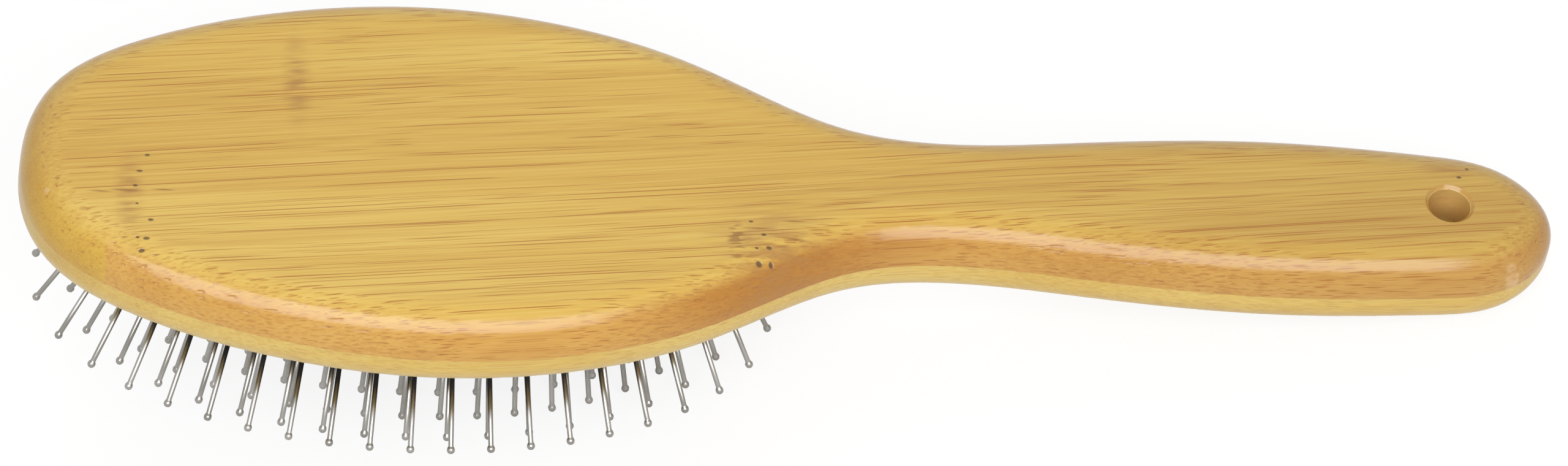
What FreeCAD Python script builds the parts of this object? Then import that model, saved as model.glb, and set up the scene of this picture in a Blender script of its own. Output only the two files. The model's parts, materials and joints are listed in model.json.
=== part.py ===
"""Bamboo pin brush for grooming pets, as a parametric FreeCAD document.

Two bamboo plies are glued face to face and cut to one outline. The thicker face
ply has an oval recess with a groove in its wall, and the bead of a moulded rubber
cushion sits in that groove. Ball-tipped steel pins stand square to the cushion's
dome, in ovals that follow its rim.

The pieces are drawn flat: X runs from the head's tip to the handle's end, Y runs
across, and Z rises from the face of the brush to its back. At the end all of them
get one placement, which tips the brush to where it comes to rest: on its middle
pins and the end of its handle.
"""
import math
import os

import FreeCAD
import Part

DOCUMENT = FreeCAD.newDocument("pin_brush")

# Driving dimensions, in millimetres unless the name says otherwise
SIZES = {
    "head_length": 121.0,
    "handle_length": 114.0,
    "nose_from_tip": 6.0,
    "nose_width": 33.4,
    "brow_from_tip": 20.0,
    "brow_width": 51.0,
    "cheek_width": 62.4,
    "belly_width": 67.9,
    "shoulder_width": 63.0,
    "collar_width": 51.0,
    "throat_width": 37.8,
    "nape_width": 26.2,
    "neck_width": 22.1,
    "grip_start_width": 25.2,
    "grip_width": 28.9,
    "heel_from_end": 19.0,
    "heel_width": 26.4,
    "butt_from_end": 7.0,
    "butt_width": 20.6,
    "back_ply_thickness": 7.0,
    "face_ply_thickness": 8.0,
    "back_round": 6.7,
    "face_round": 6.4,
    "hang_hole_diameter": 6.6,
    "hang_hole_from_end": 17.0,
    "hang_hole_chamfer": 0.5,
    "pad_rim_ends": 7.0,
    "pad_rim_sides": 8.45,
    "recess_depth": 6.0,
    "groove_above_face": 2.6,
    "groove_height": 2.2,
    "groove_depth": 1.2,
    "bead_clearance": 0.1,
    "rubber_wall": 1.4,
    "skirt_below_face": 2.0,
    "dome_rise": 9.5,
    "dome_fullness": 3.6,
    "vent_diameter": 1.6,
    "wire_diameter": 0.8,
    "ball_diameter": 1.25,
    "pin_length": 14.5,
    "outer_ring_inset": 3.5,
    "ring_gap_lengthwise": 4.7,
    "ring_gap_crosswise": 3.7,
    "ring_1_quarter_steps": 10.5,
    "ring_2_quarter_steps": 9.0,
    "ring_3_quarter_steps": 8.5,
    "ring_4_quarter_steps": 7.0,
    "ring_5_quarter_steps": 6.0,
    "ring_6_quarter_steps": 5.0,
}

# Where the outline is measured between its round ends, as shares of the head and of the handle
HEAD_SHARES = {"cheek": 0.314, "belly": 0.504, "shoulder": 0.694, "collar": 0.843, "throat": 0.942}
HANDLE_SHARES = {"nape": 0.044, "neck": 0.175, "grip_start": 0.36, "grip": 0.623}

# The cushion's oval mouth, which keeps a rim of wood all round: its middle and its half lengths
PAD_CENTRE = "(sizes.head_length / 2)"
PAD_LONG = "(sizes.head_length / 2 - sizes.pad_rim_ends)"
PAD_SHORT = "(sizes.belly_width / 2 - sizes.pad_rim_sides)"

# The dome's ellipses, as shares of the pad's own: close together where the rubber curves most
DOME_SHARES = [1.0, 0.96, 0.9, 0.82, 0.71, 0.57, 0.38]

# How round a pin is drawn, and how much of the ball's width its blunt nose keeps
PIN_SIDES = 6
NOSE_SHARE = 0.5

# How far a part that cuts runs past what it cuts
OVERRUN = 1.0


def make_sheet(sizes):
    """Write the driving dimensions into a spreadsheet, one alias for each."""
    sheet = DOCUMENT.addObject("Spreadsheet::Sheet", "sizes")
    for row, (alias, value) in enumerate(sizes.items(), start=1):
        sheet.set(f"A{row}", alias)
        sheet.set(f"B{row}", str(value))
        sheet.setAlias(f"B{row}", alias)
    DOCUMENT.recompute()
    return sheet


SHEET = make_sheet(SIZES)


def size(alias):
    """Read one driving dimension back from the spreadsheet."""
    return float(SHEET.get(alias))


def add(kind, name, **expressions):
    """Add a document object whose properties follow expressions on the sheet."""
    item = DOCUMENT.addObject(kind, name)
    item.Label = name
    for path, expression in expressions.items():
        item.setExpression(path.replace("__", "."), expression)
    return item


def cut(name, base, *tools):
    """Cut the tools from the base, one after the other."""
    for number, tool in enumerate(tools, start=1):
        last = number == len(tools)
        item = DOCUMENT.addObject("Part::Cut", name if last else f"{name}_cut_{number}")
        item.Label = item.Name
        item.Base = base
        item.Tool = tool
        base = item
    return base


def make_outline():
    """Draw the closed outline that both plies are cut to, at the height of the face.

    It is one smooth closed curve, parted where the brush is widest and narrowest.
    """
    head = size("head_length")
    handle = size("handle_length")
    places = {"nose": size("nose_from_tip"), "brow": size("brow_from_tip")}
    places.update({name: share * head for name, share in HEAD_SHARES.items()})
    places.update({name: head + share * handle for name, share in HANDLE_SHARES.items()})
    places["heel"] = head + handle - size("heel_from_end")
    places["butt"] = head + handle - size("butt_from_end")
    tip = FreeCAD.Vector(0, 0, 0)
    end = FreeCAD.Vector(head + handle, 0, 0)
    near = {name: FreeCAD.Vector(place, -size(f"{name}_width") / 2, 0) for name, place in places.items()}
    far = {name: FreeCAD.Vector(point.x, -point.y, 0) for name, point in near.items()}
    curve = Part.BSplineCurve()
    points = [tip] + list(near.values()) + [end] + list(far.values())[::-1]
    curve.interpolate(Points=points, PeriodicFlag=True)
    halfway = [near["belly"], near["neck"], end, far["neck"], far["belly"]]
    marks = [curve.FirstParameter] + [curve.parameter(point) for point in halfway]
    marks.append(curve.LastParameter)
    outline = DOCUMENT.addObject("Part::Feature", "outline")
    outline.Label = "outline"
    outline.Shape = Part.Wire([curve.toShape(start, stop) for start, stop in zip(marks, marks[1:])])
    return outline


def make_ply(name, outline, foot, thickness, radius, rounded_at):
    """Extrude the outline from the foot height and round the edge at one face."""
    blank = add("Part::Extrusion", f"{name}_blank",
                LengthFwd=f"sizes.{thickness}", Placement__Base__z=foot)
    blank.Base = outline
    blank.Dir = FreeCAD.Vector(0, 0, 1)
    blank.DirMode = "Custom"
    blank.Solid = True
    DOCUMENT.recompute()
    rounded = DOCUMENT.addObject("Part::Fillet", f"{name}_rounded")
    rounded.Label = rounded.Name
    rounded.Base = blank
    edges = []
    for number, edge in enumerate(blank.Shape.Edges, start=1):
        box = edge.BoundBox
        if box.ZLength < 0.01 and abs(box.ZMin - rounded_at) < 0.01:
            edges.append((number, radius, radius))
    rounded.Edges = edges
    return rounded


def make_hang_hole():
    """Make the hanging hole's drill, with a small countersink at the back and at the face."""
    centre = "sizes.head_length + sizes.handle_length - sizes.hang_hole_from_end"
    stack = "(sizes.back_ply_thickness + sizes.face_ply_thickness)"
    drill = add("Part::Cylinder", "hang_drill", Radius="sizes.hang_hole_diameter / 2",
                Height=f"{stack} + {2 * OVERRUN}",
                Placement__Base__x=centre, Placement__Base__z=str(-OVERRUN))
    wide = "sizes.hang_hole_diameter / 2 + sizes.hang_hole_chamfer"
    face_sink = add("Part::Cone", "hang_face_sink", Radius1=wide,
                    Radius2="sizes.hang_hole_diameter / 2", Height="sizes.hang_hole_chamfer",
                    Placement__Base__x=centre)
    back_sink = add("Part::Cone", "hang_back_sink", Radius1="sizes.hang_hole_diameter / 2",
                    Radius2=wide, Height="sizes.hang_hole_chamfer", Placement__Base__x=centre,
                    Placement__Base__z=f"{stack} - sizes.hang_hole_chamfer")
    return drill, face_sink, back_sink


def ellipse(name, long_half, short_half, height):
    """Draw an ellipse about the pad's centre, with its long axis along the brush."""
    return add("Part::Ellipse", name, MajorRadius=long_half, MinorRadius=short_half,
               Placement__Base__x=PAD_CENTRE, Placement__Base__z=height)


def oval_block(name, grow, foot, height):
    """Make an oval block, which is the pad's own oval grown by a length all round."""
    base = ellipse(f"{name}_oval", f"{PAD_LONG} + {grow}", f"{PAD_SHORT} + {grow}", foot)
    block = add("Part::Extrusion", name, LengthFwd=height)
    block.Base = base
    block.Dir = FreeCAD.Vector(0, 0, 1)
    block.DirMode = "Custom"
    block.Solid = True
    return block


def dome(name, shrink, top):
    """Loft a dome that hangs below the face: the pad's oval shrunk by a wall's thickness."""
    rings = []
    for number, share in enumerate(DOME_SHARES, start=1):
        fall = f"(sizes.dome_rise - {shrink}) * (1 - {share} ^ sizes.dome_fullness)"
        rings.append(ellipse(f"{name}_ring_{number}", f"({PAD_LONG} - {shrink}) * {share}",
                             f"({PAD_SHORT} - {shrink}) * {share}",
                             f"-sizes.skirt_below_face - {fall}"))
    skirt = ellipse(f"{name}_ring_0", f"{PAD_LONG} - {shrink}", f"{PAD_SHORT} - {shrink}", top)
    barrel = add("Part::Loft", f"{name}_skirt")
    barrel.Sections = [skirt, rings[0]]
    barrel.Solid = True
    cap = add("Part::Loft", f"{name}_cap")
    cap.Sections = rings
    cap.Solid = True
    whole = DOCUMENT.addObject("Part::Fuse", name)
    whole.Label = name
    whole.Base = barrel
    whole.Tool = cap
    return whole, cap


def make_cushion():
    """Make the rubber cushion: a bead in the groove, a skirt, and a thin domed membrane."""
    bead = oval_block("bead", "(sizes.groove_depth - sizes.bead_clearance)",
                      "sizes.groove_above_face", "sizes.groove_height")
    top = "sizes.groove_above_face + sizes.groove_height"
    outside, cap = dome("cushion_outside", "sizes.bead_clearance", top)
    inside, _ = dome("cushion_inside", "sizes.rubber_wall", f"{top} + {OVERRUN}")
    filled = DOCUMENT.addObject("Part::Fuse", "cushion_filled")
    filled.Label = "cushion_filled"
    filled.Base = outside
    filled.Tool = bead
    depth = "(sizes.skirt_below_face + sizes.dome_rise)"
    vent = add("Part::Cylinder", "vent_drill", Radius="sizes.vent_diameter / 2",
               Height=f"{depth} + {OVERRUN}", Placement__Base__x=PAD_CENTRE,
               Placement__Base__z=f"-{depth} - {OVERRUN / 2}")
    return cut("cushion", filled, inside, vent), cap


def make_pin():
    """Draw one pin that hangs from the origin: a wire that flares into a ball with a blunt nose."""
    ball = size("ball_diameter")
    wire = size("wire_diameter")
    length = size("pin_length")
    sections = [(wire / 2, 0.0), (wire / 2, 1.3 * ball - length),
                (ball / 2, 0.5 * ball - length), (ball / 2 * NOSE_SHARE, -length)]
    turns = [2 * math.pi * side / PIN_SIDES for side in range(PIN_SIDES)]
    rings = [[FreeCAD.Vector(radius * math.cos(turn), radius * math.sin(turn), height)
              for turn in turns] for radius, height in sections]
    faces = [Part.Face(Part.makePolygon(ring + ring[:1])) for ring in (rings[0], rings[-1])]
    for upper, lower in zip(rings, rings[1:]):
        for side in range(PIN_SIDES):
            after = (side + 1) % PIN_SIDES
            corners = [upper[side], upper[after], lower[after], lower[side], upper[side]]
            faces.append(Part.Face(Part.makePolygon(corners)))
    pin = DOCUMENT.addObject("Part::Feature", "pin")
    pin.Label = "pin"
    pin.Shape = Part.Solid(Part.Shell(faces))
    if pin.Shape.Volume < 0:
        pin.Shape = pin.Shape.reversed()
    return pin


def pad_long():
    """Give half the length of the cushion's oval mouth."""
    return size("head_length") / 2 - size("pad_rim_ends")


def pad_short():
    """Give half the width of the cushion's oval mouth."""
    return size("belly_width") / 2 - size("pad_rim_sides")


def ring_angle(long_half, short_half, arc):
    """Walk an arc length along an ellipse from the end of its short axis, and give the angle."""
    step = 0.0005
    angle = 0.0
    walked = 0.0
    while walked < arc and angle < math.pi / 2:
        walked += step * math.hypot(long_half * math.cos(angle), short_half * math.sin(angle))
        angle += step
    return min(angle, math.pi / 2)


def quarter_length(long_half, short_half):
    """Measure a quarter of an ellipse."""
    parts = 400
    step = math.pi / 2 / parts
    middles = [(number + 0.5) * step for number in range(parts)]
    return step * sum(math.hypot(long_half * math.cos(angle), short_half * math.sin(angle))
                      for angle in middles)


def pin_feet():
    """List where each pin stands on the pad, by the number of its row across the brush.

    Each oval of pins starts at the pad's middle and goes both ways in equal steps, so its pins
    line up across the pad with those of the next oval. An oval with a whole number of steps in
    a quarter has one pin on the brush's axis at either end.
    """
    rows = {}
    for ring in range(6):
        long_half = pad_long() - size("outer_ring_inset") - ring * size("ring_gap_lengthwise")
        short_half = pad_short() - size("outer_ring_inset") - ring * size("ring_gap_crosswise")
        steps = round(2 * size(f"ring_{ring + 1}_quarter_steps")) / 2
        pitch = quarter_length(long_half, short_half) / steps
        for count in range(int(steps) + 1):
            angle = ring_angle(long_half, short_half, count * pitch)
            if count == steps:
                angle = math.pi / 2
            along = long_half * math.sin(angle)
            across = short_half * math.cos(angle)
            for way in ((1, -1) if count else (1,)):
                row = rows.setdefault(way * count, [])
                row.append((way * along, across))
                if count < steps:
                    row.append((way * along, -across))
    return rows


def pin_placement(along, across, rubber):
    """Stand a pin at a point of the pad, square to the dome and touching it."""
    long_half = pad_long() - size("bead_clearance")
    short_half = pad_short() - size("bead_clearance")
    rise = size("dome_rise") - size("bead_clearance")
    fullness = size("dome_fullness")
    share = math.hypot(along / long_half, across / short_half)
    depth = size("skirt_below_face") + rise * (1 - share ** fullness)
    steepness = rise * fullness * share ** (fullness - 2)
    out = FreeCAD.Vector(steepness * along / long_half ** 2, steepness * across / short_half ** 2, -1)
    drawn = FreeCAD.Vector(size("head_length") / 2 + along, across, -depth)
    _, touching, _ = Part.Vertex(drawn).distToShape(rubber)
    foot = touching[0][1]
    return FreeCAD.Placement(foot, FreeCAD.Rotation(FreeCAD.Vector(0, 0, -1), out))


def make_pin_row(name, pin, feet, rubber):
    """Copy the pin to each foot of one row."""
    copies = []
    for along, across in feet:
        copy = pin.Shape.copy()
        copy.Placement = pin_placement(along, across, rubber)
        copies.append(copy)
    row = DOCUMENT.addObject("Part::Feature", name)
    row.Label = name
    row.Shape = Part.makeCompound(copies)
    return row


def rest_pitch(rows):
    """Find how far the brush tips before its handle's end is as low as its lowest pin."""
    corners = [vertex.Point for row in rows for vertex in row.Shape.Vertexes]
    radius = size("face_round")
    heel = size("head_length") + size("handle_length") - radius

    def gap(pitch):
        sine, cosine = math.sin(pitch), math.cos(pitch)
        pins = min(point.z * cosine - point.x * sine for point in corners)
        handle = radius * cosine - heel * sine - radius
        return handle - pins

    low, high = 0.0, math.radians(45)
    for _ in range(60):
        middle = (low + high) / 2
        if gap(middle) > 0:
            low = middle
        else:
            high = middle
    return low


def rest(pieces, pitch):
    """Tip every piece to the rest pose, with the box of the whole brush centred over the floor."""
    turn = FreeCAD.Rotation(FreeCAD.Vector(0, 1, 0), math.degrees(pitch))
    for piece in pieces:
        piece.Placement = FreeCAD.Placement(FreeCAD.Vector(0, 0, 0), turn)
    DOCUMENT.recompute()
    box = Part.makeCompound([piece.Shape for piece in pieces]).optimalBoundingBox(False, False)
    shift = FreeCAD.Vector(-(box.XMin + box.XMax) / 2, -(box.YMin + box.YMax) / 2, -box.ZMin)
    for piece in pieces:
        piece.Placement = FreeCAD.Placement(shift, turn)
    DOCUMENT.recompute()
    return shift


def build():
    """Build the brush and return the pieces that are exported."""
    outline = make_outline()
    total = size("back_ply_thickness") + size("face_ply_thickness")
    back = make_ply("back", outline, "sizes.face_ply_thickness", "back_ply_thickness",
                    size("back_round"), total)
    face = make_ply("face", outline, "0", "face_ply_thickness", size("face_round"), 0.0)
    drill, face_sink, back_sink = make_hang_hole()
    recess = oval_block("recess", "0", f"-{OVERRUN}", f"sizes.recess_depth + {OVERRUN}")
    groove = oval_block("groove", "sizes.groove_depth", "sizes.groove_above_face",
                        "sizes.groove_height")
    back_ply = cut("back_ply", back, drill, back_sink)
    face_ply = cut("face_ply", face, drill, face_sink, recess, groove)
    cushion, cap = make_cushion()
    pin = make_pin()
    DOCUMENT.recompute()
    pieces = [back_ply, face_ply, cushion]
    rim = -size("skirt_below_face") - OVERRUN
    rubber = Part.makeCompound([face for face in cap.Shape.Faces if face.BoundBox.ZMin < rim])
    rows = []
    for number, (_, feet) in enumerate(sorted(pin_feet().items()), start=1):
        rows.append(make_pin_row(f"pin_row_{number:02d}", pin, feet, rubber))
    DOCUMENT.recompute()
    pitch = rest_pitch(rows)
    pieces += rows
    shift = rest(pieces, pitch)
    print(f"rest pitch {math.degrees(pitch):.3f} degrees, shift {shift.x:.4f} {shift.y:.4f} {shift.z:.4f}")
    return pieces


def check_and_export(pieces):
    """Stop on an object that failed or a shape that is not valid, then write the STEP files."""
    for item in DOCUMENT.Objects:
        if "Invalid" in item.State or "Error" in item.State:
            raise RuntimeError(f"{item.Label} did not build")
    os.makedirs("parts", exist_ok=True)
    for piece in pieces:
        if not piece.Shape.isValid() or not piece.Shape.Solids:
            raise RuntimeError(f"{piece.Label} is not a valid solid")
        piece.Shape.exportStep(f"parts/{piece.Label}.step")
        print(f"{piece.Label}: {len(piece.Shape.Solids)} solids, {piece.Shape.Volume:.1f} mm3")


check_and_export(build())
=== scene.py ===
# %% [markdown]
# # A bamboo pin brush
#
# The brush has two bamboo plies glued face to face, a rubber cushion set into the lower one,
# and ball-tipped steel pins that stand out of the cushion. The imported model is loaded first,
# and gives every piece its place. The lesson then makes the camera and the light, the bamboo,
# the pins and the cushion.

import json
import math

import bmesh
import bpy
import numpy as np
from mathutils import Matrix, Vector


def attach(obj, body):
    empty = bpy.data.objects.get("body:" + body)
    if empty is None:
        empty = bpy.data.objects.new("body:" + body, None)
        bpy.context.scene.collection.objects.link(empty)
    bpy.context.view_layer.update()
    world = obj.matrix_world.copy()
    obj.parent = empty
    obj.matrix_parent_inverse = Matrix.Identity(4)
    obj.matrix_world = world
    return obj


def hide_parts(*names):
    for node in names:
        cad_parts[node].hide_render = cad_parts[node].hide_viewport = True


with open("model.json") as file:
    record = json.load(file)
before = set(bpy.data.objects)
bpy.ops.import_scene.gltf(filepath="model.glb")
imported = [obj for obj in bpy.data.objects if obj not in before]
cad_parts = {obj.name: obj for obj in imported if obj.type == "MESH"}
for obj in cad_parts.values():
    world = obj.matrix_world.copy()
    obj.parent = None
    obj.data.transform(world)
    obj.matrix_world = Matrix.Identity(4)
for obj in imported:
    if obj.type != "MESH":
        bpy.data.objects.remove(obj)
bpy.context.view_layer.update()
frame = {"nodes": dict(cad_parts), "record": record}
MM = 0.001

# %% [markdown]
# ## How the brush rests
#
# The pieces are easiest to think of with the brush lying flat: X along it from the head's tip,
# Y across it, Z from the face to the back. In the frame it is tipped, because it rests on its
# pins and on the end of its handle. The record's mount on the flat back says how far: its axis
# is the back's normal, and its place is a point of the flat drawing.

# %% Find the tip of the brush from the record's mount
BACK_POINT = Vector((61, 0, 15)) * MM
back_face = next(mount for mount in frame["record"]["mounts"] if mount["name"] == "back_face")
back_normal = Vector(back_face["axis"])
PITCH = math.atan2(back_normal.x, back_normal.z)
TURN = Matrix.Rotation(PITCH, 4, "Y")
SHIFT = Vector(back_face["pos_m"]) - TURN @ BACK_POINT
REST = Matrix.Translation(SHIFT) @ TURN @ Matrix.Scale(MM, 4)
print(f"tipped {math.degrees(PITCH):.2f} degrees, shifted {SHIFT}")

# %% [markdown]
# ## Turns, meshes and objects
#
# Three small steps come back for many pieces. A turn is given in degrees. A form that is drawn
# with bmesh becomes a mesh. Then a mesh, like a lamp or a camera, needs an object to stand in
# the scene. Each step gets a helper, so that the rest of the lesson only says what is made.


# %% Helpers for turns, meshes and objects
def turned(degrees, axis):
    """Make a turn about the X, Y or Z axis."""
    return Matrix.Rotation(math.radians(degrees), 4, axis)


def mesh_from(form, name):
    """Turn a drawn form into a mesh, and let the form go."""
    mesh = bpy.data.meshes.new(name)
    form.to_mesh(mesh)
    form.free()
    return mesh


def add_object(name, data):
    """Stand a mesh, a lamp or a camera in the scene."""
    made = bpy.data.objects.new(name, data)
    bpy.context.collection.objects.link(made)
    return made


print("helpers for turns, meshes and objects ready")

# %% [markdown]
# ## The camera
#
# The photograph was taken from in front and well above, with a long lens. The values below were
# fitted to the outline, the glue line, the hanging hole and the pin tips. A camera looks along
# its own -Z, so its turn is built from three simple ones: roll, then tilt, then swing.

# %% Place the camera
CAMERA_AIM = Vector((-1.5, 1.1, 19.8)) * MM
CAMERA_DISTANCE = 1.401
CAMERA_SWING = -0.96
CAMERA_HEIGHT = 49.70
CAMERA_ROLL = -3.38
CAMERA_LENS = 210.9
CAMERA_NEAR = 0.05
CAMERA_FAR = 50
SENSOR = 36.0


def make_camera():
    """Look at the aim from the fitted swing, height and roll."""
    lens = bpy.data.cameras.new("camera")
    lens.lens = CAMERA_LENS
    lens.sensor_width = SENSOR
    lens.sensor_fit = "HORIZONTAL"
    lens.clip_start = CAMERA_NEAR
    lens.clip_end = CAMERA_FAR
    turn = turned(CAMERA_SWING, "Z") @ turned(90 - CAMERA_HEIGHT, "X") @ turned(CAMERA_ROLL, "Z")
    back = turn.to_3x3() @ Vector((0, 0, 1))
    made = add_object("camera", lens)
    made.matrix_world = Matrix.Translation(CAMERA_AIM + back * CAMERA_DISTANCE) @ turn
    bpy.context.scene.camera = made
    return made


camera = make_camera()
print("camera at", camera.matrix_world.translation)

# %% [markdown]
# ## Colours and nodes
#
# A colour read off a screen is not linear, so one helper turns it into what a shader wants.
# Another helper adds a shader node and fills its inputs, which may be values or other nodes'
# outputs. With them, a material reads like a recipe.


# %% Helpers for nodes
def tint(red, green, blue):
    """Turn a screen colour of 0 to 255 into a linear colour with alpha."""
    parts = []
    for value in (red, green, blue):
        share = value / 255
        parts.append(share / 12.92 if share <= 0.04045 else ((share + 0.055) / 1.055) ** 2.4)
    return (*parts, 1.0)


def new_material(name):
    """Make a material, and give it with its node tree, which starts empty."""
    material = bpy.data.materials.new(name)
    material.use_nodes = True
    material.node_tree.nodes.clear()
    return material, material.node_tree


def fill(tree, socket, value):
    """Link another node's output to an input, or write a plain value into it."""
    if isinstance(value, bpy.types.NodeSocket):
        tree.links.new(value, socket)
    else:
        socket.default_value = value


def put(tree, kind, *values, out=0, settings=None, **named):
    """Add a shader node, fill its inputs in order or by name, and give one of its outputs."""
    made = tree.nodes.new("ShaderNode" + kind)
    for key, value in (settings or {}).items():
        setattr(made, key, value)
    for place, value in enumerate(values):
        fill(tree, made.inputs[place], value)
    for key, value in named.items():
        fill(tree, made.inputs[key.replace("_", " ")], value)
    return made.outputs[out]


def put_output(tree, surface, kind="Material"):
    """Connect a surface to the output of a material or of the world."""
    output = tree.nodes.new("ShaderNodeOutput" + kind)
    tree.links.new(surface, output.inputs["Surface"])


print("helpers for nodes ready")

# %% [markdown]
# ### Arithmetic with nodes
#
# Most of a pattern is arithmetic: a value is scaled, eased from one level to another, multiplied
# with a second one, and then decides how much of a colour shows.

# %% Helpers for arithmetic and colours
# The colour mixer has inputs for other kinds of values too, and these are the colour's
MIX_INPUTS = (0, 6, 7)
MIX_RESULT = 2


def math_node(tree, operation, *values, clamp=False):
    """Add one step of arithmetic."""
    return put(tree, "Math", *values, settings={"operation": operation, "use_clamp": clamp})


def vector_node(tree, operation, *values, out=0):
    """Add one step of arithmetic on vectors."""
    return put(tree, "VectorMath", *values, out=out, settings={"operation": operation})


def parts_of(tree, vector):
    """Split a vector into its X, Y and Z."""
    return put(tree, "SeparateXYZ", vector).node.outputs


def product(tree, *values):
    """Multiply several values."""
    total = values[0]
    for value in values[1:]:
        total = math_node(tree, "MULTIPLY", total, value)
    return total


def smooth(tree, value, low, high, start=0.0, end=1.0):
    """Ease from start to end while the value goes from low to high."""
    return put(tree, "MapRange", value, low, high, start, end,
               settings={"interpolation_type": "SMOOTHSTEP"})


def blend(tree, factor, first, second, mode="MIX"):
    """Mix two colours."""
    made = tree.nodes.new("ShaderNodeMix")
    made.data_type = "RGBA"
    made.blend_type = mode
    made.clamp_factor = True
    for place, value in zip(MIX_INPUTS, (factor, first, second)):
        fill(tree, made.inputs[place], value)
    return made.outputs[MIX_RESULT]


def ramp(tree, value, stops):
    """Turn a value into a colour by a list of places and colours."""
    made = tree.nodes.new("ShaderNodeValToRGB")
    tree.links.new(value, made.inputs[0])
    elements = made.color_ramp.elements
    while len(elements) < len(stops):
        elements.new(0.5)
    for element, (place, colour) in zip(elements, stops):
        element.position = place
        element.color = colour
    return made.outputs[0]


def finish_material(tree, colour, noise, rough, relief, bump, metal=0.0):
    """Make the surface: the noise moves its roughness, and the relief is pressed into it."""
    strength, depth = bump
    uneven = put(tree, "Bump", Strength=strength, Distance=depth, Height=relief)
    roughness = put(tree, "MapRange", noise, 0.3, 0.7, *rough)
    surface = put(tree, "BsdfPrincipled", Base_Color=colour, Roughness=roughness, Normal=uneven,
                  Metallic=metal)
    put_output(tree, surface)


print("helpers for arithmetic and colours ready")

# %% [markdown]
# ## Floor, backdrop and light
#
# The brush lies in a white studio. A white floor that is lit plainly renders a little grey, so
# for the camera, and for what shiny surfaces reflect, it adds light of its own. It still shows
# the brush's shadow. The main lamp is wide and soft and hangs in front, halfway up, and its
# reflection is the pale line along the rounded edge. The one overhead only lights the back.

# %% Make the floor, the world and the lamps
FLOOR_SIZE = 6.0
FLOOR_PLAIN = 0.82
# A grey, and the light that it adds
FLOOR_SEEN = (0.20, 0.84)
FLOOR_MIRRORED = (0.67, 0.32)
WORLD_FILL = 0.30
AIM = Vector((0.0, 0.0, 0.03))
FRONT = {"power": 21.5, "size": (1.76, 0.88), "distance": 1.6, "lean": (44.0, 5.0)}
OVERHEAD = {"power": 6.0, "size": (1.35, 0.80), "distance": 1.6, "lean": (-26.0, 0.0)}


def matt(tree, grey):
    """Make a matt grey."""
    return put(tree, "BsdfDiffuse", Color=(grey, grey, grey, 1))


def glowing(tree, grey, light):
    """Make a matt grey that adds light of its own."""
    return put(tree, "AddShader", matt(tree, grey), put(tree, "Emission", Strength=light))


def make_floor():
    """Lay a large white floor whose shadow the camera sees lightly."""
    form = bmesh.new()
    bmesh.ops.create_grid(form, x_segments=1, y_segments=1, size=FLOOR_SIZE / 2)
    floor = add_object("floor", mesh_from(form, "floor"))
    material, tree = new_material("floor_white")
    rays = tree.nodes.new("ShaderNodeLightPath").outputs
    shiny = math_node(tree, "MAXIMUM", rays["Is Glossy Ray"], rays["Is Transmission Ray"])
    surface = put(tree, "MixShader", shiny, matt(tree, FLOOR_PLAIN), glowing(tree, *FLOOR_MIRRORED))
    surface = put(tree, "MixShader", rays["Is Camera Ray"], surface, glowing(tree, *FLOOR_SEEN))
    put_output(tree, surface)
    floor.data.materials.append(material)


def make_world():
    """Fill the scene evenly, and show white to the camera and to shiny surfaces."""
    world = bpy.data.worlds.new("studio")
    bpy.context.scene.world = world
    world.use_nodes = True
    tree = world.node_tree
    tree.nodes.clear()
    rays = tree.nodes.new("ShaderNodeLightPath").outputs
    seen = math_node(tree, "MAXIMUM", rays["Is Camera Ray"], rays["Is Glossy Ray"])
    seen = math_node(tree, "MAXIMUM", seen, rays["Is Transmission Ray"])
    strength = put(tree, "MapRange", seen, 0, 1, WORLD_FILL, 1.0)
    put_output(tree, put(tree, "Background", (1, 1, 1, 1), strength), "World")


def make_lamp(name, power, size, distance, lean):
    """Hang a rectangular soft lamp over the brush, leaning to the front and to the right."""
    lamp = bpy.data.lights.new(name, "AREA")
    lamp.shape = "RECTANGLE"
    lamp.size, lamp.size_y = size
    lamp.energy = power
    to_front, to_right = lean
    turn = turned(to_right, "Y") @ turned(to_front, "X")
    holder = add_object(name, lamp)
    holder.matrix_world = Matrix.Translation(AIM) @ turn @ Matrix.Translation((0, 0, distance))
    return holder


make_floor()
make_world()
make_lamp("front_lamp", **FRONT)
make_lamp("overhead_lamp", **OVERHEAD).visible_glossy = False
print("floor, world and two lamps made")

# %% [markdown]
# ## Bamboo
#
# A bamboo stem is full of long dark bundles in paler wood. Where a surface runs along them they
# show as fine brown lines, and where it cuts across them, as on the rounded edge, they show as
# short dashes and rings. So the pattern is solid: cells that are long along the fibres, with a
# dark bundle in the middle of each. It is drawn in millimetres, in a frame that is turned to the
# fibres, which run a few degrees off the brush's own length.

# %% Helpers for the fibres' frame
GRAIN_ANGLE = 7.1
# How far the fibres drift, in millimetres, and how often a noise changes in one millimetre,
# first along the fibres and then across them
WANDER = 1.7
DRIFT = (0.014, 0.06)


def fibre_frame(tree, angle):
    """Give Object coordinates in millimetres, with X along the fibres and Z out of the back."""
    turn = (TURN @ turned(angle, "Z")).to_euler("XYZ")
    place = put(tree, "TexCoord", out="Object")
    return put(tree, "Mapping", place, tuple(SHIFT), tuple(turn), (MM, MM, MM),
               settings={"vector_type": "TEXTURE"})


def fibre_noise(tree, fibre, waves, detail, out="Fac"):
    """Give noise that is drawn out along the fibres."""
    along, across = waves
    stretched = vector_node(tree, "MULTIPLY", fibre, (along, across, across))
    return put(tree, "TexNoise", stretched, out=out, Scale=1.0, Detail=detail)


def wandering(tree, straight):
    """Let the fibres drift a little to the sides, so that they meet the surface and leave it."""
    drift = fibre_noise(tree, straight, DRIFT, 1.0, out="Color")
    drift = vector_node(tree, "SUBTRACT", drift, (0.5, 0.5, 0.5))
    drift = vector_node(tree, "MULTIPLY", drift, (0, WANDER, WANDER))
    return vector_node(tree, "ADD", straight, drift)


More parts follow.
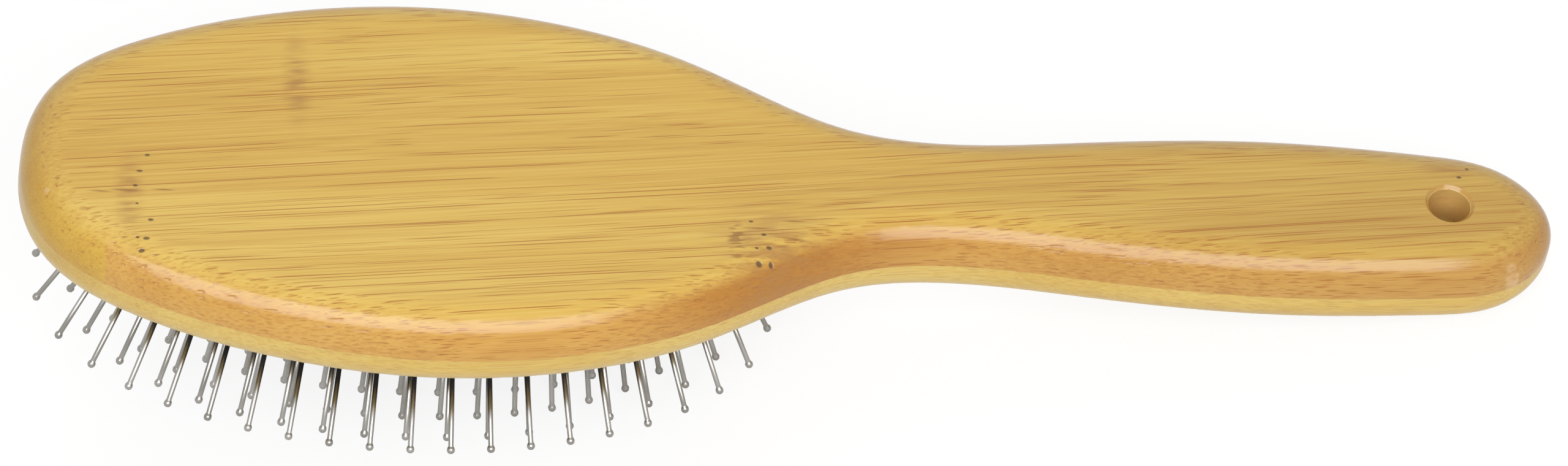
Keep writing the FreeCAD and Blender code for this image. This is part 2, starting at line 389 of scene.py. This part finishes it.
def slope_across(tree):
    """Say how squarely the surface cuts the fibres: 0 along them, 1 at the ends."""
    fibre_way = (TURN @ turned(GRAIN_ANGLE, "Z")).to_3x3() @ Vector((1, 0, 0))
    normal = put(tree, "NewGeometry", out="Normal")
    facing = vector_node(tree, "DOT_PRODUCT", normal, tuple(fibre_way), out="Value")
    return math_node(tree, "ABSOLUTE", facing)


print("the fibres run", GRAIN_ANGLE, "degrees off the brush's length")

# %% [markdown]
# ### Bundles of fibre
#
# Each bundle is a cell of a flat Voronoi pattern that lies across the fibres. The pattern doesn't
# change along them, so a bundle would never end. A slow noise, different for each cell, says
# where it fades out. A thick bundle has a paler heart, and that makes it a ring where it is cut.
# The heart is set a little off the middle, so the ring is darker on one side: painted shade, as if
# the ring were raised and lit from the other side.

# %% Helpers for the bundles
# How much a bundle grows where it is cut, how far the cells' noises lie apart, and how often
# a bundle fades in one millimetre
SWELL = 0.7
APART = 60
FADES = 0.045


def heart_of(tree, section, middle, size, shade_shift):
    """Mark a bundle's heart, which lies a little off its middle, so that its ring shows painted shade on
    one side.
    """
    offset = vector_node(tree, "SUBTRACT", section, middle)
    offset = vector_node(tree, "ADD", offset, (0, shade_shift, 0))
    distance = vector_node(tree, "LENGTH", offset, out="Value")
    return smooth(tree, math_node(tree, "DIVIDE", distance, size), 0.4, 0.85, 1.0, 0.0)


def bundles(tree, fibre, spacing, radius, swell=0.0, shade_shift=None):
    """Scatter bundles, with a heart if there is a shift for painted shade, and give their marks and their
    fading.
    """
    _, across, deep = parts_of(tree, fibre)
    section = put(tree, "CombineXYZ", across, deep, 0.0)
    section = vector_node(tree, "MULTIPLY", section, (1 / spacing, 1 / spacing, 0))
    cells = put(tree, "TexVoronoi", section, settings={"voronoi_dimensions": "2D"}, Scale=1.0).node.outputs
    size = math_node(tree, "MULTIPLY_ADD", swell, SWELL * radius / spacing, radius / spacing)
    mark = smooth(tree, math_node(tree, "DIVIDE", cells["Distance"], size), 0.5, 1.0, 1.0, 0.0)
    if shade_shift is not None:
        heart = heart_of(tree, section, cells["Position"], size, shade_shift / spacing)
        mark = math_node(tree, "SUBTRACT", mark, heart, clamp=True)
    seed = vector_node(tree, "MULTIPLY", cells["Color"], (0, APART, APART))
    way = vector_node(tree, "MULTIPLY", fibre, (FADES, 0, 0))
    fading = put(tree, "TexNoise", vector_node(tree, "ADD", seed, way), Scale=1.0, Detail=1.0)
    return mark, fading


print("bundles swell by", SWELL, "where they are cut")

# %% [markdown]
# ### Marks in the back
#
# The stem's joints left a few dark pits, lines and smudges in the back, and there are two pale
# scars. They aren't a pattern, so each is an oval patch, given by its place and its reach. The
# rims of the patches are soft, and a noise breaks them up later.

# %% Place the marks in the back
PITS = [(18.6, -2.1, 0.5, 0.3), (17.4, -5.3, 0.6, 0.28), (16.7, -8.2, 0.5, 0.3), (16.9, -11.7, 0.3, 0.25),
        (18.9, -14.8, 0.55, 0.35), (16.9, -18.2, 0.35, 0.25), (18.2, -18.4, 0.65, 0.35),
        (17.5, -20.3, 0.6, 0.4), (109.4, -9.9, 0.45, 0.25), (111.2, -12.4, 0.5, 0.35),
        (110.0, -15.0, 0.35, 0.25), (111.9, -14.7, 0.55, 0.4), (110.3, -17.4, 0.65, 0.55),
        (112.2, -17.1, 0.45, 0.55), (220.0, 5.4, 0.5, 0.3), (221.5, 7.3, 0.4, 0.3)]
DARK_LINES = [(11.5, -9.6, 2.4, 0.3), (15.2, -9.2, 3.4, 0.35), (21.0, -8.8, 2.4, 0.3),
              (116.0, -9.5, 2.6, 0.25), (110.5, -11.2, 3.2, 0.25), (116.0, -12.7, 3.4, 0.3)]
SMUDGES = [(15.8, -10.0, 3.0, 11.0), (108.8, -13.0, 3.2, 5.5), (41.5, 14.0, 3.0, 13.0),
           (218.0, 7.0, 6.0, 2.5), (112.5, -14.5, 13.0, 11.0), (111.5, -21.5, 3.0, 4.0)]
JOINT_DASHES = [(107.0, -14.0, 1.8, 5.5)]
PALE_SCARS = [(3.6, -8.7, 0.6, 0.6), (227.7, -10.2, 1.8, 1.3)]


def spot(tree, flat, patch, hard):
    """Mark an oval patch of the back: 1 inside the hard share of its reach, 0 outside it."""
    x, y, reach_x, reach_y = patch
    offset = vector_node(tree, "SUBTRACT", flat, (x, y, 0))
    offset = vector_node(tree, "MULTIPLY", offset, (1 / reach_x, 1 / reach_y, 0))
    distance = vector_node(tree, "LENGTH", offset, out="Value")
    return smooth(tree, distance, hard, 1.0, 1.0, 0.0)


def spots(tree, flat, patches, hard):
    """Mark several oval patches at once."""
    marks = [spot(tree, flat, patch, hard) for patch in patches]
    while len(marks) > 1:
        marks.append(math_node(tree, "MAXIMUM", marks.pop(0), marks.pop(0)))
    return marks[0]


print("marks:", sum(len(group) for group in (PITS, DARK_LINES, SMUDGES, JOINT_DASHES, PALE_SCARS)))

# %% [markdown]
# ### The wood's tones
#
# From broad to fine, a ply has a slowly changing tone, soft stripes and hair-fine fibres. The
# edge took the oil more deeply and is browner, most of all at the neck, and the very tip of the
# head is yellower. The back is also darkened towards the end of its handle, as painted shade where
# less light falls. Those are tints that multiply the wood's colour.

# %% Helpers for the wood's tones
TONES = (0.007, 0.10)
STRIPES = (0.013, 0.75)
HAIRS = (0.030, 3.6)
# Where the painted shade towards the handle's end starts and where it is darkest, where the
# yellow tip ends and how softly, and the oval in which the neck is stained
HANDLE_SHADE = (100.0, 232.0)
YELLOW_TIP = 12.2
TIP_FADE = 0.4
NECK_STAIN = (115.0, -20.0, 37.0, 22.0)


def wood_colour(tree, look, fibre, flat):
    """Mix the broad tones, the stripes and the hair-fine fibres, and give the fibres too."""
    tone = fibre_noise(tree, fibre, TONES, 3.0)
    stripe = fibre_noise(tree, fibre, STRIPES, 3.0)
    hair = fibre_noise(tree, fibre, HAIRS, 3.0)
    colour = ramp(tree, tone, [(0.34, look["deep"]), (0.50, look["body"]), (0.66, look["pale"])])
    colour = blend(tree, smooth(tree, stripe, 0.50, 0.70, 0, look["stripes"]), colour, look["brown"])
    colour = blend(tree, smooth(tree, hair, 0.50, 0.66, 0, look["hairs"]), colour, look["bright"])
    colour = blend(tree, smooth(tree, hair, 0.48, 0.34, 0, look["hairs"]), colour, look["brown"])
    # Painted shade: the colour darkens towards the end of the handle, where less light falls
    along, _, _ = parts_of(tree, flat)
    shaded = smooth(tree, along, *HANDLE_SHADE, 0.0, look["handle"])
    return blend(tree, shaded, colour, look["handle_shade_tint"], "MULTIPLY"), hair


def edge_tints(tree, look, colour, flat):
    """Tint the rounded edge, and tint it differently at the head's tip and at the neck."""
    along, _, height = parts_of(tree, flat)
    rounding = smooth(tree, height, look["edge_top"], look["edge_low"])
    past_tip = smooth(tree, along, YELLOW_TIP, YELLOW_TIP + TIP_FADE)
    before_tip = math_node(tree, "SUBTRACT", rounding, past_tip, clamp=True)
    at_neck = product(tree, rounding, spot(tree, flat, NECK_STAIN, 0.2))
    colour = blend(tree, product(tree, rounding, past_tip), colour, look["edge_tint"], "MULTIPLY")
    colour = blend(tree, before_tip, colour, look["tip_tint"], "MULTIPLY")
    return blend(tree, at_neck, colour, look["neck_tint"], "MULTIPLY")


print("the handle looks older from", HANDLE_SHADE[0], "mm on")

# %% [markdown]
# ### Lines, flecks and rings
#
# The same bundles look different with the surface's slope across the fibres. The fine ones are
# lines on the flat and short flecks on the edge. The thinnest only show on the flat, and the
# thick ones only on the edge, as rings. They crowd together in drifts, as they do near the
# outside of a stem.

# %% Helpers for what the bundles show
# The spacing and the radius of a bundle, in millimetres
STRAND = (0.62, 0.12)
THREAD = (0.36, 0.075)
RING = (1.75, 0.30)
# How far a ring's heart is set off its middle, in millimetres, so that the ring shows painted shade on one
# side
RING_SHADE_SHIFT = 0.10
# Slopes between which the surface comes to cut the bundles, and between which threads end
CUTTING = (0.06, 0.20)
LEAVING = (0.10, 0.40)
# The drifts' noise, how they grow in one millimetre, and how much more shows in them
CROWDS = (0.010, 0.045)
CROWDS_GROW = {"across": -0.006, "along": 0.0009}
CROWDED_STRANDS = 0.14
CROWDED_THREADS = 0.12


def crowding(tree, flat):
    """Say where the bundles crowd: in drifts, and more to the front and along the handle."""
    along, across, _ = parts_of(tree, flat)
    crowd = fibre_noise(tree, flat, CROWDS, 1.0)
    crowd = math_node(tree, "MULTIPLY_ADD", across, CROWDS_GROW["across"], crowd)
    crowd = math_node(tree, "MULTIPLY_ADD", along, CROWDS_GROW["along"], crowd)
    return smooth(tree, crowd, 0.40, 0.66)


def strand_marks(tree, look, fibre, crowd, slope):
    """Mark the bundles that are lines along the surface and flecks where it cuts them."""
    cut = smooth(tree, slope, *CUTTING)
    mark, fading = bundles(tree, fibre, *STRAND, swell=cut)
    shown = smooth(tree, math_node(tree, "MULTIPLY_ADD", crowd, CROWDED_STRANDS, fading), 0.47, 0.60)
    flecks = product(tree, cut, smooth(tree, fading, 0.52, 0.58))
    shown = math_node(tree, "MAXIMUM", shown, flecks)
    steep = smooth(tree, slope, 0.35, 0.80, 1.0, 0.15)
    strength = smooth(tree, slope, *CUTTING, look["lines"], look["flecks"])
    return product(tree, mark, shown, steep, strength)


def thread_marks(tree, look, fibre, crowd, slope):
    """Mark the thin bundles, which only show along the surface."""
    mark, fading = bundles(tree, fibre, *THREAD)
    shown = smooth(tree, math_node(tree, "MULTIPLY_ADD", crowd, CROWDED_THREADS, fading), 0.49, 0.62)
    return product(tree, mark, shown, smooth(tree, slope, *LEAVING, 1.0, 0.0), look["threads"])


def ring_marks(tree, fibre, slope):
    """Mark the thick bundles, which only show as rings where the surface cuts them, with painted shade on
    one side.
    """
    mark, fading = bundles(tree, fibre, *RING, shade_shift=RING_SHADE_SHIFT)
    cut = smooth(tree, slope, *CUTTING)
    steep = smooth(tree, slope, 0.60, 0.95, 1.0, 0.2)
    return product(tree, mark, cut, steep, smooth(tree, fading, 0.38, 0.46))


print("spacing of strands, threads and rings:", STRAND[0], THREAD[0], RING[0])

# %% [markdown]
# ### The hole and the joints
#
# The drill left a pale wall in the hanging hole, and its colour is paler still as painted light
# in the shade inside the hole. A browner lip goes round it. The joints' marks are only in the upper
# ply. Two noises wear their patches and break the dashes up, so that no oval is seen, and the pits
# are also sunk into the surface.

# %% Helpers for the hole and the joints
HOLE = (218.0, 0.0, 3.42, 3.42)
HOLE_LIP = (218.0, 0.0, 4.1, 4.1)
WEAR = (0.15, 1.0)
DASHES = (0.35, 2.0)
UPPER = (6.0, 9.0)
PIT_DEPTH = 2.5
MARK_STRENGTH = {"drilled_and_lit": 0.45, "lip": 0.6, "smudge": 0.78, "scar": 0.6, "seam": 0.6, "pit": 0.8}


def stain(tree, look, colour, kind, mark):
    """Blend the tone of one kind of mark into the colour."""
    return blend(tree, product(tree, mark, MARK_STRENGTH[kind]), colour, look[kind])


def hole_marks(tree, look, colour, flat):
    """Tint the hanging hole's wall, pale wood with painted light, and the lip round it."""
    drilled_and_lit = spot(tree, flat, HOLE, 0.97)
    lip = math_node(tree, "SUBTRACT", spot(tree, flat, HOLE_LIP, 0.90), drilled_and_lit, clamp=True)
    colour = stain(tree, look, colour, "drilled_and_lit", drilled_and_lit)
    return stain(tree, look, colour, "lip", lip)


def joint_marks(tree, look, colour, flat, fibre, relief):
    """Add the smudges, scars, dark lines and pits, and sink the pits into the relief."""
    upper = smooth(tree, parts_of(tree, flat)[2], *UPPER)
    worn = smooth(tree, fibre_noise(tree, fibre, WEAR, 3.0), 0.30, 0.62)
    short = smooth(tree, fibre_noise(tree, fibre, DASHES, 1.0), 0.50, 0.60)
    smudges = product(tree, spots(tree, flat, SMUDGES, 0.0), worn, upper)
    scars = product(tree, spots(tree, flat, PALE_SCARS, 0.5), worn)
    dashes = product(tree, spots(tree, flat, JOINT_DASHES, 0.4), short, upper)
    seams = product(tree, spots(tree, flat, DARK_LINES, 0.1), upper)
    pits = product(tree, spots(tree, flat, PITS, 0.5), upper)
    colour = stain(tree, look, colour, "smudge", smudges)
    colour = stain(tree, look, colour, "scar", scars)
    colour = stain(tree, look, colour, "seam", math_node(tree, "MAXIMUM", dashes, seams))
    colour = stain(tree, look, colour, "pit", pits)
    return colour, math_node(tree, "MULTIPLY_ADD", pits, -PIT_DEPTH, relief)


print("kinds of marks:", ", ".join(MARK_STRENGTH))

# %% [markdown]
# ### Two bamboos
#
# Both plies are the same wood, so they share one recipe. The back is oiled and shiny, with strong
# brown lines, and the face is duller and plainer. What differs is given to the recipe as a look:
# a list of colours and strengths. A colour can be tried out there without touching the nodes.

# %% Mix the bamboo of the back and of the face
WOOD_BUMP = (0.4, 0.00010)
BACK_LOOK = {
    "deep": tint(212, 169, 76), "body": tint(219, 179, 83), "pale": tint(225, 189, 94),
    "bright": tint(232, 200, 112), "brown": tint(198, 148, 64), "vessel": tint(166, 100, 32),
    "stripes": 0.28, "hairs": 0.34, "lines": 0.80, "flecks": 0.32, "rings": 0.70, "threads": 0.62,
    # Painted shade that darkens the handle towards its end: its strength and its tint
    "handle": 1.0, "handle_shade_tint": tint(238, 236, 236),
    "edge_top": 14.5, "edge_low": 12.8, "edge_tint": tint(244, 225, 224),
    "tip_tint": tint(244, 236, 198), "neck_tint": tint(223, 199, 146),
    "smudge": tint(174, 124, 62), "seam": tint(132, 80, 34), "pit": tint(78, 48, 20),
    # The hole's wall: pale wood, made paler still as painted light in the hole's shade
    "scar": tint(228, 190, 140), "drilled_and_lit": tint(246, 214, 142), "lip": tint(196, 146, 72),
    "joints": True, "rough": (0.13, 0.23),
}
FACE_LOOK = {
    "deep": tint(209, 170, 78), "body": tint(217, 181, 88), "pale": tint(223, 191, 101),
    "bright": tint(231, 202, 128), "brown": tint(202, 160, 78), "vessel": tint(182, 134, 62),
    "stripes": 0.35, "hairs": 0.30, "lines": 0.45, "flecks": 0.25, "rings": 0.20, "threads": 0.35,
    "handle": 0.0, "handle_shade_tint": tint(255, 255, 255),
    "edge_top": 3.5, "edge_low": 0.5, "edge_tint": tint(246, 244, 230),
    "tip_tint": tint(244, 236, 204), "neck_tint": tint(244, 240, 232),
    # The hole's wall: pale wood, made paler still as painted light in the hole's shade
    "drilled_and_lit": tint(246, 214, 142), "lip": tint(196, 146, 72),
    "joints": False, "rough": (0.22, 0.32),
}


def bamboo(name, look):
    """Make a bamboo material from the colours and strengths of one ply."""
    material, tree = new_material(name)
    flat = fibre_frame(tree, 0)
    fibre = wandering(tree, fibre_frame(tree, GRAIN_ANGLE))
    slope = slope_across(tree)
    crowd = crowding(tree, flat)
    colour, hair = wood_colour(tree, look, fibre, flat)
    colour = edge_tints(tree, look, colour, flat)
    colour = blend(tree, strand_marks(tree, look, fibre, crowd, slope), colour, look["vessel"])
    colour = blend(tree, thread_marks(tree, look, fibre, crowd, slope), colour, look["vessel"])
    rings = ring_marks(tree, fibre, slope)
    colour = blend(tree, product(tree, rings, look["rings"]), colour, look["vessel"])
    colour = hole_marks(tree, look, colour, flat)
    ridges = product(tree, hair, smooth(tree, slope, *LEAVING, 0.30, 0.05))
    relief = math_node(tree, "MULTIPLY_ADD", rings, -1.0, ridges)
    if look["joints"]:
        colour, relief = joint_marks(tree, look, colour, flat, fibre, relief)
    finish_material(tree, colour, hair, look["rough"], relief, WOOD_BUMP)
    return material


bamboo_back = bamboo("bamboo_back", BACK_LOOK)
bamboo_face = bamboo("bamboo_face", FACE_LOOK)
print("bamboo:", len(bamboo_back.node_tree.nodes), "nodes in the back's material")

# %% [markdown]
# ### The plies
#
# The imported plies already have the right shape, rounded edges and all, so they are kept as they
# are, and only their materials change.

# %% Dress the plies
for node_name, material in (("back_ply", bamboo_back), ("face_ply", bamboo_face)):
    ply = frame["nodes"][node_name]
    for slot in ply.material_slots:
        slot.material = material
    print(node_name, "faces:", len(ply.data.polygons))

# %% [markdown]
# ## Steel pins
#
# Each pin is a straight stainless wire whose end is formed into a small ball. Its outline is half
# of its section, and spinning that about the pin's axis makes it round. There are nearly two
# hundred, so a pin keeps to ten sides.

# %% Spin one pin
WIRE = 0.8
BALL = 1.25
PIN_LENGTH = 14.5
PIN_SIDES = 10
SAME_POINT = 0.001


def pin_outline():
    """List the half section from the foot to the tip as radius and distance from the foot."""
    wire = WIRE / 2
    ball = BALL / 2
    end = PIN_LENGTH
    return [(wire, 0.0), (wire, end - 1.30), (wire * 1.05, end - 1.14), (ball * 0.86, end - 0.95),
            (ball, end - 0.64), (ball * 0.88, end - 0.30), (ball * 0.55, end - 0.08), (0.0, end)]


def spin_pin():
    """Spin the outline about Z into a closed pin that hangs below the origin."""
    form = bmesh.new()
    corners = [form.verts.new((radius, 0, -down)) for radius, down in [(0.0, 0.0)] + pin_outline()]
    edges = [form.edges.new(pair) for pair in zip(corners, corners[1:])]
    bmesh.ops.spin(form, geom=corners + edges, cent=(0, 0, 0), axis=(0, 0, 1), dvec=(0, 0, 0),
                   angle=2 * math.pi, steps=PIN_SIDES, use_merge=True)
    bmesh.ops.remove_doubles(form, verts=form.verts, dist=SAME_POINT)
    bmesh.ops.recalc_face_normals(form, faces=form.faces)
    for face in form.faces:
        face.smooth = True
    return mesh_from(form, "one_pin")


one_pin = spin_pin()
print("one pin has", len(one_pin.polygons), "faces")

# %% [markdown]
# ### Where the pins stand
#
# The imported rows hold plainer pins. A row's mesh is taken apart into its pins, and the longest
# direction of a pin's points is its axis. The foot is at the wider end, because a packed pin is
# narrower at its nose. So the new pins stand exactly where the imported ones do.

# %% Read the pins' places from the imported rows
END_ZONE = 0.01


def loose_parts(mesh):
    """Merge a mesh's corners and give the points of each loose part."""
    form = bmesh.new()
    form.from_mesh(mesh)
    bmesh.ops.remove_doubles(form, verts=form.verts, dist=SAME_POINT * MM)
    waiting = set(form.verts)
    parts = []
    while waiting:
        part = {waiting.pop()}
        edge_of_part = set(part)
        while edge_of_part:
            near = {edge.other_vert(vert) for vert in edge_of_part for edge in vert.link_edges}
            edge_of_part = near - part
            part |= edge_of_part
        waiting -= part
        parts.append(np.array([tuple(vert.co) for vert in part]))
    form.free()
    return sorted(parts, key=lambda points: tuple(points.mean(axis=0)))


def foot_and_way(points):
    """Find where a packed pin starts and which way it points."""
    middle = points.mean(axis=0)
    way = np.linalg.svd(points - middle)[2][0]
    along = (points - middle) @ way
    off_axis = np.linalg.norm(points - middle - np.outer(along, way), axis=1)
    low_end = off_axis[along < along.min() + END_ZONE * MM].mean()
    high_end = off_axis[along > along.max() - END_ZONE * MM].mean()
    if low_end < high_end:
        way, along = -way, -along
    return Vector(middle + way * along.min()), Vector(way)


row_names = sorted(name for name in frame["nodes"] if name.startswith("pin_row_"))
places = {name: [foot_and_way(points) for points in loose_parts(frame["nodes"][name].data)]
          for name in row_names}
print("rows:", len(places), "pins:", sum(len(pins) for pins in places.values()))

# %% [markdown]
# ### Steel
#
# Stainless wire is drawn through a die, which leaves faint marks along it, and then polished. It
# is nearly grey, with a little warmth, and its roughness changes slightly from pin to pin.

# %% Make the steel and stand the pins in their rows
STEEL_DARK = tint(150, 147, 141)
STEEL_PALE = tint(172, 169, 164)
STEEL_ROUGH = (0.16, 0.26)
STEEL_BUMP = (0.08, 0.00002)
DRAWING_MARKS = (9000, 9000, 500)
STEEL_PATCHES = 120.0


def steel():
    """Make polished stainless steel with faint drawing marks along the wire."""
    material, tree = new_material("pin_steel")
    place = put(tree, "TexCoord", out="Object")
    fine = vector_node(tree, "MULTIPLY", place, DRAWING_MARKS)
    drawn = put(tree, "TexNoise", fine, Scale=1.0, Detail=1.0)
    patch = put(tree, "TexNoise", place, Scale=STEEL_PATCHES, Detail=1.0)
    colour = ramp(tree, patch, [(0.35, STEEL_DARK), (0.65, STEEL_PALE)])
    finish_material(tree, colour, patch, STEEL_ROUGH, drawn, STEEL_BUMP, metal=1.0)
    return material


def make_row(node_name, pins, material):
    """Copy the pin to each place in one packed row, as one piece."""
    row = bmesh.new()
    for foot, way in pins:
        aim = way.to_track_quat("-Z", "Y").to_matrix().to_4x4()
        placing = Matrix.Translation(foot) @ aim @ Matrix.Scale(MM, 4)
        before = len(row.verts)
        row.from_mesh(one_pin)
        row.verts.ensure_lookup_table()
        bmesh.ops.transform(row, matrix=placing, verts=row.verts[before:])
    piece = add_object("steel_" + node_name, mesh_from(row, "steel_" + node_name))
    piece.data.materials.append(material)
    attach(piece, "root")
    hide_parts(node_name)


pin_steel = steel()
for row_name in row_names:
    make_row(row_name, places[row_name], pin_steel)
print("rows of steel pins made:", len(row_names))

# %% [markdown]
# ## The rubber cushion
#
# The cushion is one moulding: a domed wall that carries the pins, a skirt at its rim, and a bead
# that snaps into a groove in the wood. All its sections across are ovals, so one oval ring of
# edges is drawn and extruded from section to section, and the last ring is bridged to the first.

# %% List the cushion's sections
PAD_CENTRE = 60.5
PAD_LONG = 107.0 / 2
PAD_SHORT = 51.0 / 2
PAD_CLEARANCE = 0.1
RUBBER_WALL = 1.4
SKIRT = 2.0
DOME_RISE = 9.5
DOME_FULLNESS = 3.6
DOME_SHARES = [1.0, 0.985, 0.96, 0.93, 0.89, 0.84, 0.78, 0.70, 0.60, 0.48, 0.34, 0.20, 0.08]
BEAD_LOW = 2.6
BEAD_HIGH = 4.8
BEAD_OUT = 1.1
VENT = 0.8


def oval(outset, height):
    """Give the half sizes and the height of an oval that lies outside the pad's mouth."""
    return PAD_LONG + outset, PAD_SHORT + outset, height


def dome_sections(inset):
    """List the dome's ovals, from its rim to its middle, at an inset from the pad's mouth."""
    long_half, short_half, _ = oval(-inset, 0.0)
    return [(long_half * share, short_half * share,
             -SKIRT - (DOME_RISE - inset) * (1 - share ** DOME_FULLNESS)) for share in DOME_SHARES]


def cushion_sections():
    """List the ovals round the moulding's wall: outside, vent, inside and bead."""
    outside = dome_sections(PAD_CLEARANCE)
    inside = dome_sections(RUBBER_WALL)
    vent = [(VENT, VENT, outside[-1][2]), (VENT, VENT, inside[-1][2])]
    bead = [oval(-RUBBER_WALL, BEAD_HIGH), oval(BEAD_OUT, BEAD_HIGH), oval(BEAD_OUT, BEAD_LOW),
            oval(-PAD_CLEARANCE, BEAD_LOW)]
    return outside + vent + inside[::-1] + bead


sections = cushion_sections()
print("sections of the cushion:", len(sections))

# %% [markdown]
# ### Rubber
#
# The rubber is black and matt. The mould's fine grain keeps it from looking like plastic, and a
# trace of dust makes it a little greyer and duller in patches.

# %% Make the rubber
RUBBER_DARK = tint(30, 30, 31)
RUBBER_DUSTY = tint(46, 45, 45)
RUBBER_ROUGH = (0.52, 0.66)
RUBBER_BUMP = (0.3, 0.00005)
RUBBER_GRAIN = 2600.0
RUBBER_DUST = 60.0


def rubber():
    """Make matt black rubber with a fine moulded grain."""
    material, tree = new_material("rubber")
    place = put(tree, "TexCoord", out="Object")
    grain = put(tree, "TexNoise", place, Scale=RUBBER_GRAIN, Detail=2.0)
    dust = put(tree, "TexNoise", place, Scale=RUBBER_DUST, Detail=4.0)
    colour = ramp(tree, dust, [(0.35, RUBBER_DARK), (0.7, RUBBER_DUSTY)])
    finish_material(tree, colour, dust, RUBBER_ROUGH, grain, RUBBER_BUMP)
    return material


black_rubber = rubber()
print("made the material", black_rubber.name)

# %% [markdown]
# ### Moulding it
#
# A ring of edges is stretched into the first oval. Each extrusion copies the ring, and the copy is
# scaled and moved to the next oval. It gives the new corners, the edges of the new ring and the
# edges between the two rings, so the last kind has to be left out before the next step.

# %% Mould the cushion
PAD_SIDES = 120


def make_cushion():
    """Extrude an oval ring through every section and close the wall."""
    form = bmesh.new()
    ring = bmesh.ops.create_circle(form, segments=PAD_SIDES, radius=1.0)["verts"]
    long_half, short_half, height = sections[0]
    bmesh.ops.scale(form, vec=(long_half, short_half, 1), verts=ring)
    bmesh.ops.translate(form, vec=(0, 0, height), verts=ring)
    first = list(form.edges)
    edges = first
    for before, after in zip(sections, sections[1:]):
        grown = bmesh.ops.extrude_edge_only(form, edges=edges)["geom"]
        ring = [item for item in grown if isinstance(item, bmesh.types.BMVert)]
        edges = [item for item in grown if isinstance(item, bmesh.types.BMEdge)]
        edges = [edge for edge in edges if all(vert in ring for vert in edge.verts)]
        bmesh.ops.scale(form, vec=(after[0] / before[0], after[1] / before[1], 1), verts=ring)
        bmesh.ops.translate(form, vec=(0, 0, after[2] - before[2]), verts=ring)
    bmesh.ops.bridge_loops(form, edges=first + edges)
    bmesh.ops.translate(form, vec=(PAD_CENTRE, 0, 0), verts=form.verts)
    bmesh.ops.recalc_face_normals(form, faces=form.faces)
    bmesh.ops.transform(form, matrix=REST, verts=form.verts)
    for face in form.faces:
        face.smooth = True
    return mesh_from(form, "rubber_cushion")


rubber_cushion = add_object("rubber_cushion", make_cushion())
rubber_cushion.data.materials.append(black_rubber)
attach(rubber_cushion, "root")
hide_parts("cushion")
print("cushion:", len(rubber_cushion.data.polygons), "faces")

# %% [markdown]
# ## Colour management and the last lines
#
# The Standard view shows colours as they are written.

# %% Finish
bpy.context.scene.view_settings.view_transform = "Standard"
